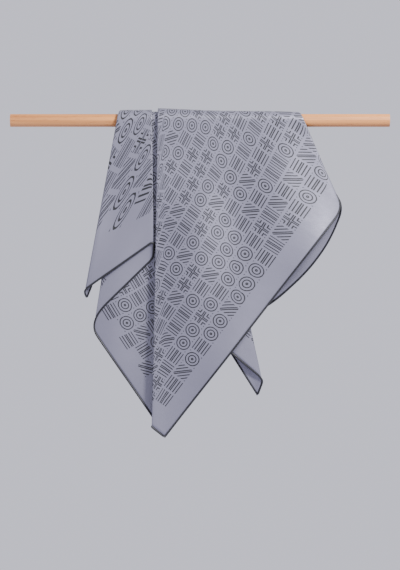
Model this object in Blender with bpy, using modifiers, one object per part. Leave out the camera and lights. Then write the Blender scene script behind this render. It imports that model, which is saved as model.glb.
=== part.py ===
"""Silk scarf draped over a wooden rod: a square of printed silk with a dark rolled hem, hung cornerwise.

Metres, +Z up, the rod along X. The origin is on the rod's axis at the middle of its length.
The front faces -Y. The cloth is one sheet: its fold lines are the rows of FOLDS, from the square's
right corner to its left corner, and each one runs from the front hem over the rod to the back hem.
"""

from collections import namedtuple

import bpy
import numpy as np

SCARF_SIDE = 0.700  # side of the square, laid flat
CLOTH_THICKNESS = 0.001
HEM_THICKNESS = 0.0022  # the cloth's edge is rolled over, so it is thicker there
HEM_WIDTH = 0.003
ROD_DIAMETER = 0.020
ROD_LENGTH = 0.590
ROD_SIDES = 24
LAYER_PITCH = 0.0017  # from one layer of cloth to the next, over the rod
ROD_CLEARANCE = 0.0008  # between the rod and the innermost layer
FOLD_DEPTH = 0.030  # how far the deepest fold stands out from the rod's axis

ARC_ROWS = 4  # rows of the cloth from the rod's top to its side
FRONT_ROWS = 14  # and from there to the front hem
BACK_ROWS = 12
CORNER_CROWDING = 2.2  # columns stand closer together towards the two hidden corners on the rod
CORNER_INSET = 0.012  # the cloth stops this share of the first and last panel short of the hidden corners

# One row for each fold line, in order from the right corner to the left corner.
# x, drop: where the hem ends up, as shares of SCARF_SIDE from the rod's middle and axis.
# depth: as a share of FOLD_DEPTH, negative towards the front.
# rod_x: where the line crosses the rod, a share of SCARF_SIDE. layer: how many layers lie under it there.
# rounding: how far the fold is rounded, as a share of the panels beside it. steps: columns up to the next row.
Fold = namedtuple(
    "Fold",
    "name front_x front_drop front_depth rod_x layer back_x back_drop back_depth rounding steps",
)
FOLDS = [
    Fold("right_corner", 0.040, None, -0.4, 0.040, 0.5, 0.040, None, 0.4, 0.0, 9),
    Fold("right_edge", 0.329, 0.181, 0.1, 0.233, 0.9, 0.326, 0.176, 0.2, 0.45, 4),
    Fold("right_shoulder", 0.261, 0.268, -0.5, 0.156, 1.9, 0.291, 0.266, 0.7, 0.45, 3),
    Fold("right_slope", 0.187, 0.362, -0.6, 0.096, 2.0, 0.242, 0.334, 0.9, 0.45, 3),
    Fold("panel_middle", 0.107, 0.465, -0.8, 0.033, 2.3, 0.160, 0.410, 0.9, 0.45, 5),
    Fold("front_corner", -0.078, 0.701, -0.9, -0.078, 4.4, 0.055, 0.454, 0.9, 0.0, 2),
    Fold("main_crease", -0.107, 0.678, -0.95, -0.096, 4.6, 0.011, 0.425, 0.95, 0.3, 3),
    Fold("back_corner", -0.101, 0.673, -0.7, -0.040, 3.6, 0.129, 0.612, 0.72, 0.0, 3),
    Fold("pleat_crease", -0.096, 0.670, -0.45, 0.009, 2.5, 0.142, 0.577, 0.5, 0.3, 4),
    Fold("side_middle", -0.176, 0.554, -0.30, -0.078, 1.2, -0.022, 0.439, 0.4, 0.4, 4),
    Fold("inner_left_turn", -0.249, 0.448, -0.25, -0.169, 1.6, -0.238, 0.363, 0.4, 0.3, 5),
    Fold("flap_crease", -0.104, 0.306, -0.52, -0.107, 2.6, -0.104, 0.279, 0.55, 0.3, 2),
    Fold("flap_crease_front", -0.102, 0.268, -0.63, -0.107, 3.1, -0.109, 0.262, 0.63, 0.3, 5),
    Fold("left_edge", -0.257, 0.377, -0.52, -0.178, 2.9, -0.229, 0.252, 0.5, 0.45, 3),
    Fold("left_edge_back", -0.251, 0.397, -0.07, -0.176, 0.4, -0.222, 0.245, 0.1, 0.45, 9),
    Fold("left_corner", -0.111, None, -0.4, -0.111, 0.8, -0.111, None, 0.4, 0.0, 0),
]


def knots():
    """Distance along the folded cloth at each fold line, from 0 to 1."""
    ends = np.array([(f.front_x, f.front_drop or 0, f.rod_x, f.back_x, f.back_drop or 0) for f in FOLDS])
    lengths = np.abs(np.diff(ends, axis=0)).sum(axis=1) + 0.02
    reach = np.concatenate([[0], np.cumsum(lengths)])
    return reach / reach[-1]


def columns():
    """Where the sheet's columns stand: each panel cut into its row's number of steps."""
    at = knots()
    cuts = []
    for i in range(len(FOLDS) - 1):
        share = np.arange(FOLDS[i].steps) / FOLDS[i].steps
        if i == 0:
            share = share**CORNER_CROWDING
        if i == len(FOLDS) - 2:
            share = 1 - (1 - share) ** CORNER_CROWDING
        cuts.append(at[i] + share * (at[i + 1] - at[i]))
    return np.concatenate([*cuts, [1.0]])


def rounded(along, values, radii):
    """Straight lines through the values at the knots, with a parabola of the given radius at each knot."""
    at = knots()
    slopes = np.diff(values) / np.diff(at)
    line = np.interp(along, at, values)
    for i in range(1, len(at) - 1):
        if radii[i] > 0:
            reach = radii[i] * min(at[i] - at[i - 1], at[i + 1] - at[i])
            near = np.clip(reach - np.abs(along - at[i]), 0, None)
            line = line + (slopes[i] - slopes[i - 1]) * near**2 / (4 * reach)
    return line


def column_of(name, along):
    """One column of the table along the cloth, rounded at its folds."""
    values = np.array([float(getattr(f, name) or 0) for f in FOLDS])
    return rounded(along, values, [f.rounding for f in FOLDS])


def side_path(along, side):
    """The front or back half of the fold lines at these places: arc radius, rod x and the hem's x, y, z."""
    radius = ROD_DIAMETER / 2 + ROD_CLEARANCE + CLOTH_THICKNESS / 2 + LAYER_PITCH * column_of("layer", along)
    rod_x = SCARF_SIDE * column_of("rod_x", along)
    hem_x = SCARF_SIDE * column_of(side + "_x", along)
    drops = [f.front_drop if side == "front" else f.back_drop for f in FOLDS]
    # a hidden corner lies on top of the rod, one arc radius above its axis
    level = np.array([-radius[0 if i == 0 else -1] if d is None else SCARF_SIDE * d for i, d in enumerate(drops)])
    hem_z = -rounded(along, level, [f.rounding for f in FOLDS])
    hem_y = FOLD_DEPTH * column_of(side + "_depth", along)
    return radius, rod_x, hem_x, hem_y, hem_z


def hang(along, place, side, inset=0.0):
    """Points on the cloth: each fold line goes round an arc over the rod and then straight to its hem.

    A place of 0 is on top of the rod, 1 is at the rod's side and 2 is at the hem, less the inset.
    Across the rod the line drifts evenly from its place on the rod to the hem's.
    """
    way = -1 if side == "front" else 1
    radius, rod_x, hem_x, hem_y, hem_z = side_path(along, side)
    arc = radius * (np.pi / 2 - np.arcsin(np.clip(hem_z / radius, 0, 1)))
    start = np.stack([way * radius, np.zeros_like(radius)], -1)
    end = np.stack([hem_y + way * CLOTH_THICKNESS, np.minimum(hem_z, 0)], -1)
    drop = np.where(hem_z < 0, np.linalg.norm(end - start, axis=-1), 0)
    length = np.maximum(arc + drop, 1e-9)
    left = np.clip(length - inset, 0, None)
    reach = min(place, 1) * np.minimum(left, arc) + max(place - 1, 0) * np.clip(left - arc, 0, None)
    angle = np.pi / 2 - np.minimum(reach, arc) / radius
    fall = np.where(drop > 0, np.clip((reach - arc) / np.maximum(drop, 1e-9), 0, 1), 0)[..., None]
    on_arc = np.stack([way * radius * np.cos(angle), radius * np.sin(angle)], -1)
    across = rod_x + (hem_x - rod_x) * reach / length
    return np.concatenate([across[..., None], np.where(fall > 0, start + fall * (end - start), on_arc)], -1)


def cloth_grid():
    """The cloth's middle surface as a grid of points, from the back hem over the rod to the front hem."""
    along = columns()
    at = knots()
    along[0] = CORNER_INSET * (at[1] - at[0])
    along[-1] = 1 - CORNER_INSET * (at[-1] - at[-2])
    arc = np.arange(ARC_ROWS) / ARC_ROWS
    front = [hang(along, place, "front", HEM_WIDTH) for place in [*arc, *np.linspace(1, 2, FRONT_ROWS)]]
    back = [hang(along, place, "back", HEM_WIDTH) for place in [*arc, *np.linspace(1, 2, BACK_ROWS)]]
    edges = [hang(along, 2, side) for side in ("back", "front")]
    return np.array([edges[0], *back[:0:-1], *front, edges[1]])


def grid_mesh(name, grid):
    """A mesh of quads between neighbouring points of a grid of points."""
    rows, cols = grid.shape[:2]
    corner = np.arange(rows * cols).reshape(rows, cols)
    quads = np.stack([corner[:-1, :-1], corner[1:, :-1], corner[1:, 1:], corner[:-1, 1:]], -1)
    mesh = bpy.data.meshes.new(name)
    mesh.from_pydata(grid.reshape(-1, 3).tolist(), [], quads.reshape(-1, 4).tolist())
    return mesh


def material(name, colour, roughness, metallic=0.0):
    """A plain Principled material."""
    made = bpy.data.materials.new(name)
    made.use_nodes = True
    shader = made.node_tree.nodes["Principled BSDF"]
    shader.inputs["Base Color"].default_value = (*colour, 1)
    shader.inputs["Roughness"].default_value = roughness
    shader.inputs["Metallic"].default_value = metallic
    return made


def link(name, data, finish, collection):
    """A named object with its own material, in the scarf's collection."""
    made = bpy.data.objects.new(name, data)
    data.materials.append(finish)
    collection.objects.link(made)
    return made


def build_cloth(collection):
    """The silk square: its folded middle surface, given its thickness, and thicker at the rolled hem."""
    silk = material("printed_silk", (0.42, 0.42, 0.47), 0.4)
    grid = cloth_grid()
    cloth = link("silk_square", grid_mesh("silk_square", grid), silk, collection)
    weight = np.full(grid.shape[:2], CLOTH_THICKNESS / HEM_THICKNESS)
    weight[[0, 1, -2, -1]] = 1
    thickness = cloth.vertex_groups.new(name="thickness")
    for index, value in enumerate(weight.ravel().tolist()):
        thickness.add([index], value, "REPLACE")
    weld = cloth.modifiers.new("weld", "WELD")
    weld.merge_threshold = 0.00002
    wall = cloth.modifiers.new("wall", "SOLIDIFY")
    wall.thickness = HEM_THICKNESS
    wall.vertex_group = thickness.name
    wall.offset = 0
    return cloth


def build_rod(collection):
    """The plain round rod, lying along X through the origin."""
    bpy.ops.mesh.primitive_cylinder_add(vertices=ROD_SIDES, radius=ROD_DIAMETER / 2, depth=ROD_LENGTH)
    rod = bpy.context.object
    rod.name = rod.data.name = "wooden_rod"
    rod.rotation_euler = (0, np.pi / 2, 0)
    rod.data.materials.append(material("pale_wood", (0.62, 0.36, 0.18), 0.5))
    rod.data.shade_smooth()
    rod.data.set_sharp_from_angle(angle=np.radians(40))
    for owner in rod.users_collection:
        owner.objects.unlink(rod)
    collection.objects.link(rod)
    return rod


def main():
    for old in list(bpy.data.objects):
        bpy.data.objects.remove(old)
    collection = bpy.data.collections.new("silk_scarf_on_rod")
    bpy.context.scene.collection.children.link(collection)
    build_rod(collection)
    build_cloth(collection)


main()
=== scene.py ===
"""Silk scarf on a wooden rod: the printed silk, its rolled hem and the rod's grain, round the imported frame."""

from collections import namedtuple

import bpy
import numpy as np
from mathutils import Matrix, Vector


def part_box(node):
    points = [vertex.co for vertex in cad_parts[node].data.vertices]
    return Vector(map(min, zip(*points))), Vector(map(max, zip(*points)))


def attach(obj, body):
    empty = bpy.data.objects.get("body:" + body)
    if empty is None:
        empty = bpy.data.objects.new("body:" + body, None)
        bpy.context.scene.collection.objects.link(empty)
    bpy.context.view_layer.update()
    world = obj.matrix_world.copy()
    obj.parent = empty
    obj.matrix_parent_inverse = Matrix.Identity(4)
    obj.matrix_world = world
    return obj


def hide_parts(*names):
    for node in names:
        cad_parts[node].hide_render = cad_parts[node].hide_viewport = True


bl_info = {
    "name": "Draped Silk Scarf",
    "version": (1, 0, 0),
    "blender": (4, 5, 0),
    "location": "3D View > Sidebar > Scarf",
    "description": "A printed silk square with a rolled hem, draped over a wooden rod",
    "category": "Add Mesh",
}

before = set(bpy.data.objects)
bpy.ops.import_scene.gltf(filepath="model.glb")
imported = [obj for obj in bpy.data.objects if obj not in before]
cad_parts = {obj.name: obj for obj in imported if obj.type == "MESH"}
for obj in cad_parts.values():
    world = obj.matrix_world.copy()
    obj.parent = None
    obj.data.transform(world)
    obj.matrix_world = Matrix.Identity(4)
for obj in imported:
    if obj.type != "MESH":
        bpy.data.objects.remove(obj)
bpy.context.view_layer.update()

ROD_LOW, ROD_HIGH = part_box("wooden_rod")
ROD_RADIUS = (ROD_HIGH[2] - ROD_LOW[2]) / 2
LAYER_PITCH = 0.0017  # from one layer of cloth to the next, over the rod
FIRST_LAYER = 0.0013  # from the rod to the middle of the innermost layer
FOLD_DEPTH = 0.030  # how far the deepest fold stands out from the rod's axis

ARC_ROWS = 10  # rows of the cloth from the rod's top to its side
FRONT_ROWS = 74  # and from there to the front hem
BACK_ROWS = 60
FINENESS = 4  # columns for each step that a fold's row gives
CORNER_CROWDING = 2.2  # columns stand closer together towards the two hidden corners on the rod
HEM_SIDES = 8

# One row for each fold line, in order from the square's right corner to its left corner.
# front_hem: +1 at the right corner, 0 at the front corner, -1 at the left corner.
# back_hem: 0 at the right corner, 1 at the back corner, 2 at the left corner.
# x, drop: where the hem ends up, as shares of the square's side from the rod's middle and axis.
# depth: as a share of FOLD_DEPTH, negative towards the front.
# rod_x: where the line crosses the rod. layer: how many layers lie under it there.
# rounding: how far the fold is rounded, as a share of the panels beside it. steps: columns up to the next row.
Fold = namedtuple(
    "Fold",
    "name front_hem front_x front_drop front_depth rod_x layer"
    " back_hem back_x back_drop back_depth rounding steps",
)
FOLDS = [
    Fold("right_corner", 1.00, 0.040, None, -0.4, 0.040, 0.5, 0.00, 0.040, None, 0.4, 0.0, 9),
    Fold("right_edge", 0.66, 0.329, 0.181, 0.1, 0.233, 0.9, 0.25, 0.326, 0.176, 0.2, 0.45, 4),
    Fold("right_shoulder", 0.55, 0.261, 0.268, -0.5, 0.156, 1.9, 0.36, 0.291, 0.266, 0.7, 0.45, 3),
    Fold("right_slope", 0.43, 0.187, 0.362, -0.6, 0.096, 2.0, 0.45, 0.242, 0.334, 0.9, 0.45, 3),
    Fold("panel_middle", 0.30, 0.107, 0.465, -0.8, 0.033, 2.3, 0.56, 0.160, 0.410, 0.9, 0.45, 5),
    Fold("front_corner", 0.00, -0.078, 0.701, -0.9, -0.078, 4.4, 0.72, 0.055, 0.454, 0.9, 0.0, 2),
    Fold("main_crease", -0.037, -0.107, 0.678, -0.95, -0.096, 4.6, 0.79, 0.011, 0.425, 0.95, 0.3, 3),
    Fold("back_corner", -0.043, -0.101, 0.673, -0.7, -0.040, 3.6, 1.00, 0.129, 0.612, 0.72, 0.0, 3),
    Fold("pleat_crease", -0.050, -0.096, 0.670, -0.45, 0.009, 2.5, 1.05, 0.142, 0.577, 0.5, 0.3, 4),
    Fold("side_middle", -0.18, -0.176, 0.554, -0.30, -0.078, 1.2, 1.26, -0.022, 0.439, 0.4, 0.4, 4),
    Fold("inner_left_turn", -0.295, -0.249, 0.448, -0.25, -0.169, 1.6, 1.47, -0.238, 0.363, 0.4, 0.3, 5),
    Fold("flap_crease", -0.465, -0.104, 0.306, -0.52, -0.107, 2.6, 1.63, -0.104, 0.279, 0.55, 0.3, 2),
    Fold("flap_crease_front", -0.495, -0.102, 0.268, -0.63, -0.107, 3.1, 1.66, -0.109, 0.262, 0.63, 0.3, 5),
    Fold("left_edge", -0.64, -0.257, 0.377, -0.52, -0.178, 2.9, 1.78, -0.229, 0.252, 0.5, 0.45, 3),
    Fold("left_edge_back", -0.66, -0.251, 0.397, -0.07, -0.176, 0.4, 1.80, -0.222, 0.245, 0.1, 0.45, 9),
    Fold("left_corner", -1.00, -0.111, None, -0.4, -0.111, 0.8, 2.00, -0.111, None, 0.4, 0.0, 0),
]


class ScarfSettings(bpy.types.PropertyGroup):
    """Sizes and colours of the scarf and its rod."""

    side: bpy.props.FloatProperty(
        name="Side", description="Side of the square, laid flat", default=0.700, unit="LENGTH"
    )
    silk_thickness: bpy.props.FloatProperty(
        name="Silk", description="Thickness of the silk", default=0.0005, precision=5, unit="LENGTH"
    )
    hem_diameter: bpy.props.FloatProperty(
        name="Hem", description="Thickness of the rolled hem", default=0.0030, precision=4, unit="LENGTH"
    )
    ripple: bpy.props.FloatProperty(
        name="Ripple", description="Depth of the soft waves in the cloth", default=0.0035, unit="LENGTH"
    )
    border: bpy.props.FloatProperty(
        name="Border", description="Width of the plain strip inside the hem", default=0.019, unit="LENGTH"
    )
    cell: bpy.props.FloatProperty(
        name="Motif", description="Distance from one printed motif to the next", default=0.0245, unit="LENGTH"
    )
    silk_colour: bpy.props.FloatVectorProperty(
        name="Silk colour", description="Ground of the print", default=(0.20, 0.195, 0.25), subtype="COLOR"
    )
    ink_colour: bpy.props.FloatVectorProperty(
        name="Ink", description="Printed lines and hem", default=(0.004, 0.004, 0.006), subtype="COLOR"
    )
    wood_pale: bpy.props.FloatVectorProperty(
        name="Pale wood", description="The rod between its grain lines", default=(0.62, 0.27, 0.085), subtype="COLOR"
    )
    wood_dark: bpy.props.FloatVectorProperty(
        name="Dark grain", description="The rod's grain lines", default=(0.30, 0.10, 0.025), subtype="COLOR"
    )


def settings():
    """The scarf's settings in this scene."""
    return bpy.context.scene.scarf


def knots():
    """Distance along the folded cloth at each fold line, from 0 to 1."""
    ends = np.array([(f.front_x, f.front_drop or 0, f.rod_x, f.back_x, f.back_drop or 0) for f in FOLDS])
    lengths = np.abs(np.diff(ends, axis=0)).sum(axis=1) + 0.02
    reach = np.concatenate([[0], np.cumsum(lengths)])
    return reach / reach[-1]


def columns():
    """Where the sheet's columns stand: each panel cut into equal steps, crowded towards the hidden corners."""
    at = knots()
    cuts = []
    for i in range(len(FOLDS) - 1):
        count = FOLDS[i].steps * FINENESS
        share = np.arange(count) / count
        if i == 0:
            share = share**CORNER_CROWDING
        if i == len(FOLDS) - 2:
            share = 1 - (1 - share) ** CORNER_CROWDING
        cuts.append(at[i] + share * (at[i + 1] - at[i]))
    return np.concatenate([*cuts, [1.0]])


def rounded(along, values, radii):
    """Straight lines through the values at the knots, with a parabola of the given radius at each knot."""
    at = knots()
    slopes = np.diff(values) / np.diff(at)
    line = np.interp(along, at, values)
    for i in range(1, len(at) - 1):
        if radii[i] > 0:
            reach = radii[i] * min(at[i] - at[i - 1], at[i + 1] - at[i])
            near = np.clip(reach - np.abs(along - at[i]), 0, None)
            line = line + (slopes[i] - slopes[i - 1]) * near**2 / (4 * reach)
    return line


def column_of(name, along):
    """One column of the table along the cloth, rounded at its folds."""
    values = np.array([float(getattr(f, name) or 0) for f in FOLDS])
    return rounded(along, values, [f.rounding for f in FOLDS])


def hang(along, place, side, inset=0.0):
    """Points on the cloth and how far down their fold line they are, from 0 at the rod's top to 1 at the hem.

    Each fold line goes round an arc over the rod and then straight to its hem. A place of 0 is on top of the
    rod, 1 is at its side and 2 is at the hem, less the inset. The line drifts evenly in x all the way.
    """
    way = -1 if side == "front" else 1
    size = settings().side
    radius = ROD_RADIUS + FIRST_LAYER + LAYER_PITCH * column_of("layer", along)
    rod_x = size * column_of("rod_x", along)
    hem_x = size * column_of(side + "_x", along)
    drops = [f.front_drop if side == "front" else f.back_drop for f in FOLDS]
    level = np.array([-radius[0 if i == 0 else -1] if d is None else size * d for i, d in enumerate(drops)])
    hem_z = -rounded(along, level, [f.rounding for f in FOLDS])
    hem_y = FOLD_DEPTH * column_of(side + "_depth", along)
    arc = radius * (np.pi / 2 - np.arcsin(np.clip(hem_z / radius, 0, 1)))
    start = np.stack([way * radius, np.zeros_like(radius)], -1)
    end = np.stack([hem_y, np.minimum(hem_z, 0)], -1)
    drop = np.where(hem_z < 0, np.linalg.norm(end - start, axis=-1), 0)
    length = np.maximum(arc + drop, 1e-9)
    left = np.clip(length - inset, 0, None)
    reach = min(place, 1) * np.minimum(left, arc) + max(place - 1, 0) * np.clip(left - arc, 0, None)
    angle = np.pi / 2 - np.minimum(reach, arc) / radius
    fall = np.where(drop > 0, np.clip((reach - arc) / np.maximum(drop, 1e-9), 0, 1), 0)[..., None]
    on_arc = np.stack([way * radius * np.cos(angle), radius * np.sin(angle)], -1)
    across = rod_x + (hem_x - rod_x) * reach / length
    points = np.concatenate([across[..., None], np.where(fall > 0, start + fall * (end - start), on_arc)], -1)
    return rippled(points), reach / length, length


def rippled(points):
    """The same soft waves through all the layers: two slanting sines in x and z that grow from the rod down."""
    x, z = points[..., 0], points[..., 2]
    grown = np.clip(-z / 0.16, 0, 1) ** 1.5
    wave = np.sin(38 * x + 9 * z + 0.6) + 0.6 * np.sin(61 * x - 14 * z + 2.1)
    moved = points.copy()
    moved[..., 1] += settings().ripple * grown * wave
    return moved


def flat_place(along, share, side, front_length, back_length):
    """Where a point lies on the flat square, from (0, 0) at the front corner to (1, 1) at the back corner.

    The fold line is straight on the flat cloth, from its place on the front hem to its place on the back hem.
    """
    at = knots()
    front = np.interp(along, at, [f.front_hem for f in FOLDS])
    back = np.interp(along, at, [f.back_hem for f in FOLDS])
    start = np.stack([np.clip(front, 0, 1), np.clip(-front, 0, 1)], -1)
    end = np.stack([np.clip(2 - back, 0, 1), np.clip(back, 0, 1)], -1)
    top = front_length / (front_length + back_length)
    run = top * (1 - share) if side == "front" else top + (1 - top) * share
    return start + run[..., None] * (end - start)


def new_piece(name, data, finish):
    """A shown object with its material."""
    data.materials.append(finish)
    made = bpy.data.objects.new(name, data)
    bpy.context.scene.collection.objects.link(made)
    return made


def grid_faces(rows, cols, wrap=False):
    """Quads between neighbouring points of a grid, closed across its columns and rows if it wraps."""
    corner = np.arange(rows * cols).reshape(rows, cols)
    if wrap:
        corner = np.pad(corner, ((0, 1), (0, 1)), mode="wrap")
    return np.stack([corner[:-1, :-1], corner[1:, :-1], corner[1:, 1:], corner[:-1, 1:]], -1).reshape(-1, 4)


def mesh_of(name, points, faces, uv=None):
    """A smooth mesh of points and quads, with a place on the flat square for each point if it is given."""
    mesh = bpy.data.meshes.new(name)
    mesh.from_pydata(points.reshape(-1, 3).tolist(), [], faces.tolist())
    if uv is not None:
        layer = mesh.uv_layers.new(name="flat_square")
        layer.data.foreach_set("uv", uv.reshape(-1, 2)[faces.ravel()].ravel())
    mesh.shade_smooth()
    return mesh


class Socket:
    """A node's output whose arithmetic adds Math nodes."""

    def __init__(self, kit, link):
        self.kit = kit
        self.link = link

    def maths(self, operation, *values):
        return self.kit.node("ShaderNodeMath", {"operation": operation}, dict(enumerate([self, *values])))

    def __add__(self, other):
        return self.maths("ADD", other)

    __radd__ = __add__

    def __sub__(self, other):
        return self.maths("SUBTRACT", other)

    def __rsub__(self, other):
        return (self * -1).maths("ADD", other)

    def __mul__(self, other):
        return self.maths("MULTIPLY", other)

    __rmul__ = __mul__

    def __abs__(self):
        return self.maths("ABSOLUTE")

    def __gt__(self, other):
        return self.maths("GREATER_THAN", other)

    def __lt__(self, other):
        return self.maths("LESS_THAN", other)

    def floor(self):
        return self.maths("FLOOR")

    def fract(self):
        return self.maths("FRACT")

    def least(self, other):
        return self.maths("MINIMUM", other)

    def most(self, other):
        return self.maths("MAXIMUM", other)


class Shader:
    """A material's node tree, with one method that adds any node."""

    def __init__(self, name):
        self.material = bpy.data.materials.new(name)
        self.material.use_nodes = True
        self.tree = self.material.node_tree
        self.surface = self.tree.nodes["Principled BSDF"]

    def node(self, kind, options=None, inputs=None, output=0):
        made = self.tree.nodes.new(kind)
        for name, value in (options or {}).items():
            setattr(made, name, value)
        for key, value in (inputs or {}).items():
            self.feed(made.inputs[key], value)
        return Socket(self, made.outputs[output])

    def feed(self, socket, value):
        if isinstance(value, Socket):
            self.tree.links.new(value.link, socket)
        else:
            socket.default_value = value

    def finish(self, **inputs):
        for name, value in inputs.items():
            self.feed(self.surface.inputs[name.replace("_", " ")], value)
        return self.material

    def mix(self, factor, first, second):
        """The first colour where the factor is 0 and the second where it is 1."""
        return self.node("ShaderNodeMix", {"data_type": "RGBA"}, {0: factor, 6: first, 7: second}, 2)

    def choose(self, mask, first, second):
        """The first number where the mask is 0 and the second where it is 1."""
        return first + mask * (second - first)

    def bump(self, height, strength, distance):
        return self.node("ShaderNodeBump", None, {"Height": height, "Strength": strength, "Distance": distance})


def motif_lines(shader, u, v):
    """The printed lines, 1 on a line: one of five small motifs in each cell, in rows set off by half a cell.

    Each motif is a set of evenly spaced level lines of a simple distance: round rings, upright bars, level
    bars, slanting bars or a cross. A random number for each cell picks one.
    """
    cells = settings().side / settings().cell
    row = (v * cells).floor()
    shifted = u * cells + row * 0.5
    column = shifted.floor()
    a = shifted.fract() - 0.5
    b = (v * cells).fract() - 0.5
    cell = shader.node("ShaderNodeCombineXYZ", None, {0: column, 1: row})
    pick = shader.node("ShaderNodeTexWhiteNoise", {"noise_dimensions": "2D"}, {"Vector": cell}, 0)
    rings = (a * a + b * b).maths("SQRT")
    slants = abs(a + b) * 0.71
    cross = abs(a).least(abs(b))
    level = shader.choose(pick > 0.34, rings, abs(a))
    level = shader.choose(pick > 0.50, level, abs(b))
    level = shader.choose(pick > 0.66, level, slants)
    level = shader.choose(pick > 0.84, level, cross)
    line = abs((level * 5.6 + 0.22).fract() - 0.5) < 0.19
    inside = abs(a).most(abs(b)) < 0.43
    # a cell is printed only where its middle is clear of the plain border
    middle_u = (column + 0.5 - row * 0.5) * (1 / cells)
    middle_v = (row + 0.5) * (1 / cells)
    edge = middle_u.least(1 - middle_u).least(middle_v.least(1 - middle_v))
    clear = edge > (settings().border + 0.5 * settings().cell) / settings().side
    return line * inside * clear


def silk_finish():
    """Satin silk: a fine twill bump, soft cloudy changes of tone, and the printed lines in dull ink."""
    shader = Shader("printed_silk_satin")
    place = shader.node("ShaderNodeUVMap", {"uv_map": "flat_square"})
    u = shader.node("ShaderNodeSeparateXYZ", None, {0: place}, 0)
    v = shader.node("ShaderNodeSeparateXYZ", None, {0: place}, 1)
    lines = motif_lines(shader, u, v)
    cloud = shader.node("ShaderNodeTexNoise", None, {"Vector": place, "Scale": 7.0, "Detail": 3.0})
    ground = tuple(settings().silk_colour)
    dark = shader.mix(cloud, (*(c * 0.90 for c in ground), 1), (*(min(1, c * 1.10) for c in ground), 1))
    colour = shader.mix(lines, dark, (*settings().ink_colour, 1))
    weave = abs(((u + v) * 620).fract() - 0.5) + abs(((u - v) * 620).fract() - 0.5)
    crease = shader.node("ShaderNodeTexNoise", None, {"Vector": place, "Scale": 24.0, "Detail": 4.0})
    fine = shader.bump(weave, 0.10, 0.0004)
    soft = shader.node(
        "ShaderNodeBump", None, {"Height": crease, "Strength": 0.16, "Distance": 0.003, "Normal": fine}
    )
    material = shader.finish(
        Base_Color=colour,
        Roughness=shader.choose(lines, 0.36, 0.52) + cloud * 0.06,
        Metallic=shader.choose(lines, 0.45, 0.0),
        Normal=soft,
    )
    shader.surface.inputs["Sheen Weight"].default_value = 0.25
    shader.surface.inputs["Sheen Roughness"].default_value = 0.35
    return material


def hem_finish():
    """Dark rolled silk, with the slanting ridges of a hand-rolled edge."""
    shader = Shader("dark_rolled_hem")
    place = shader.node("ShaderNodeTexCoord", None, None, 3)
    ridges = shader.node("ShaderNodeTexNoise", None, {"Vector": place, "Scale": 420.0, "Detail": 2.0})
    ink = tuple(settings().ink_colour)
    colour = shader.mix(ridges, (*(c * 0.7 for c in ink), 1), (*(c * 1.5 for c in ink), 1))
    return shader.finish(
        Base_Color=colour, Roughness=0.42 + ridges * 0.14, Normal=shader.bump(ridges, 0.3, 0.0006)
    )


def wood_finish():
    """Pale close-grained wood: long streaks along the rod with short flecks, under a thin dull wax."""
    shader = Shader("pale_beech")
    place = shader.node("ShaderNodeTexCoord", None, None, 3)
    along = shader.node("ShaderNodeMapping", None, {"Vector": place, "Scale": (3.0, 120.0, 120.0)})
    grain = shader.node("ShaderNodeTexNoise", None, {"Vector": along, "Scale": 1.6, "Detail": 6.0})
    short = shader.node("ShaderNodeMapping", None, {"Vector": place, "Scale": (60.0, 700.0, 700.0)})
    flecks = shader.node("ShaderNodeTexNoise", None, {"Vector": short, "Scale": 1.0, "Detail": 2.0})
    streak = (grain * 1.9 - 0.45).most(0.0).least(1.0)
    fleck = (flecks > 0.66) * 0.35
    factor = (streak * 0.8 + fleck).least(1.0)
    colour = shader.mix(factor, (*settings().wood_pale, 1), (*settings().wood_dark, 1))
    return shader.finish(
        Base_Color=colour, Roughness=0.44 + factor * 0.12, Normal=shader.bump(factor, 0.25, 0.0005)
    )


class SCARF_OT_silk(bpy.types.Operator):
    """Make the draped silk square and its rolled hem"""

    bl_idname = "scarf.silk"
    bl_label = "Silk and Hem"

    def execute(self, context):
        along = columns()
        arc = np.arange(ARC_ROWS) / ARC_ROWS
        rolled_in = settings().hem_diameter / 4
        lengths = {side: hang(along, 2, side)[2] for side in ("front", "back")}
        points, places = [], []
        rows = [("back", place) for place in [*arc, *np.linspace(1, 2, BACK_ROWS)]][:0:-1]
        rows += [("front", place) for place in [*arc, *np.linspace(1, 2, FRONT_ROWS)]]
        for side, place in rows:
            row, share, _ = hang(along, place, side, rolled_in)
            points.append(row)
            places.append(flat_place(along, share, side, lengths["front"], lengths["back"]))
        faces = grid_faces(len(rows), len(along))
        mesh = mesh_of("draped_silk", np.array(points), faces, np.array(places))
        silk = new_piece("draped_silk", mesh, silk_finish())
        wall = silk.modifiers.new("wall", "SOLIDIFY")
        wall.thickness = settings().silk_thickness
        wall.offset = 0
        hem = self.hem(along)
        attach(silk, "root")
        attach(hem, "root")
        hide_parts("silk_square")
        side = settings().side
        return {"FINISHED"}

    def hem(self, along):
        """A round tube along all four sides: at each point of the route, a circle across its direction."""
        front = hang(along, 2, "front")[0]
        back = hang(along[-2:0:-1], 2, "back")[0]
        route = np.concatenate([front, back])
        ahead = np.roll(route, -1, axis=0) - np.roll(route, 1, axis=0)
        ahead /= np.linalg.norm(ahead, axis=1, keepdims=True)
        # the circle's first direction is across the route and as near to the depth axis as it can be
        depth = np.array([0.0, 1.0, 0.0]) - ahead * ahead[:, 1:2]
        depth /= np.linalg.norm(depth, axis=1, keepdims=True)
        across = np.cross(ahead, depth)
        turn = np.arange(HEM_SIDES) * 2 * np.pi / HEM_SIDES
        circle = np.cos(turn)[None, :, None] * depth[:, None] + np.sin(turn)[None, :, None] * across[:, None]
        points = route[:, None] + settings().hem_diameter / 2 * circle
        faces = grid_faces(len(route), HEM_SIDES, wrap=True)[:, ::-1]
        return new_piece("rolled_hem", mesh_of("rolled_hem", points, faces), hem_finish())


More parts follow.
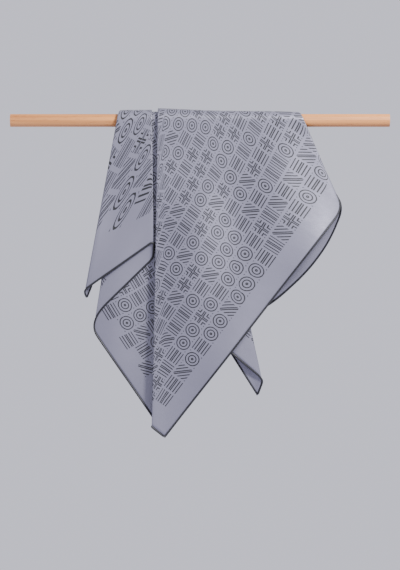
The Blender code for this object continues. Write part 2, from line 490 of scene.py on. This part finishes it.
class SCARF_OT_rod(bpy.types.Operator):
    """Give the rod its grain"""

    bl_idname = "scarf.rod"
    bl_label = "Wooden Rod"

    def execute(self, context):
        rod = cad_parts["wooden_rod"]
        finish = wood_finish()
        if rod.material_slots:
            for held in rod.material_slots:
                held.material = finish
        else:
            rod.data.materials.append(finish)
        return {"FINISHED"}


class SCARF_OT_stage(bpy.types.Operator):
    """Make the pale floor, the soft lights and the camera"""

    bl_idname = "scarf.stage"
    bl_label = "Stage"

    def execute(self, context):
        scene = context.scene
        self.floor()
        self.light("key", (0.95, -1.05, 0.85), 0.35, 78.0)
        self.light("fill", (-1.2, -1.2, 0.5), 1.2, 5.0)
        world = bpy.data.worlds.new("soft_sky")
        scene.world = world
        world.use_nodes = True
        world.node_tree.nodes["Background"].inputs[0].default_value = (0.82, 0.82, 0.95, 1)
        world.node_tree.nodes["Background"].inputs[1].default_value = 0.95
        # the photograph is 570 pixels high at 1.556 mm a pixel, and its middle is 256 mm below the rod
        distance, height, middle = 3.2, 0.887, -0.256
        camera = bpy.data.objects.new("camera", bpy.data.cameras.new("camera"))
        camera.data.sensor_width = 36.0
        camera.data.lens = 36.0 * distance / height
        camera.location = (0.0, -distance, middle)
        camera.rotation_euler = (np.pi / 2, 0.0, 0.0)
        scene.collection.objects.link(camera)
        scene.camera = camera
        return {"FINISHED"}

    def floor(self):
        """A wide level floor, low enough to lie below the camera's view from the front."""
        reach, height, count = 4.0, -1.6, 9
        span = np.linspace(-reach, reach, count)
        x, y = np.meshgrid(span, span)
        points = np.stack([x, y, np.full_like(x, height)], -1)
        finish = Shader("pale_floor").finish(Base_Color=(0.86, 0.85, 0.97, 1), Roughness=0.9)
        made = new_piece("floor", mesh_of("floor", points, grid_faces(count, count)[:, ::-1]), finish)

    def light(self, name, place, size, power):
        """A square soft light that faces the scarf."""
        lamp = bpy.data.objects.new(name, bpy.data.lights.new(name, "AREA"))
        lamp.data.size = size
        lamp.data.energy = power
        lamp.location = place
        aim = np.array([0.0, 0.0, -0.25]) - np.array(place)
        tilt = np.arctan2(np.hypot(aim[0], aim[1]), -aim[2])
        lamp.rotation_euler = (tilt, 0.0, np.arctan2(aim[1], aim[0]) - np.pi / 2)
        bpy.context.scene.collection.objects.link(lamp)


class SCARF_PT_panel(bpy.types.Panel):
    """Lists the scarf's settings and pieces"""

    bl_idname = "SCARF_PT_panel"
    bl_label = "Draped Scarf"
    bl_space_type = "VIEW_3D"
    bl_region_type = "UI"
    bl_category = "Scarf"

    def draw(self, context):
        for name in ScarfSettings.__annotations__:
            self.layout.prop(context.scene.scarf, name)
        for operator in (SCARF_OT_silk, SCARF_OT_rod, SCARF_OT_stage):
            self.layout.operator(operator.bl_idname)


CLASSES = (ScarfSettings, SCARF_OT_silk, SCARF_OT_rod, SCARF_OT_stage, SCARF_PT_panel)


def register():
    for kind in CLASSES:
        bpy.utils.register_class(kind)
    bpy.types.Scene.scarf = bpy.props.PointerProperty(type=ScarfSettings)


def unregister():
    del bpy.types.Scene.scarf
    for kind in reversed(CLASSES):
        bpy.utils.unregister_class(kind)


def main():
    register()
    bpy.ops.scarf.silk()
    bpy.ops.scarf.rod()
    bpy.ops.scarf.stage()


if __name__ == "__main__":
    main()
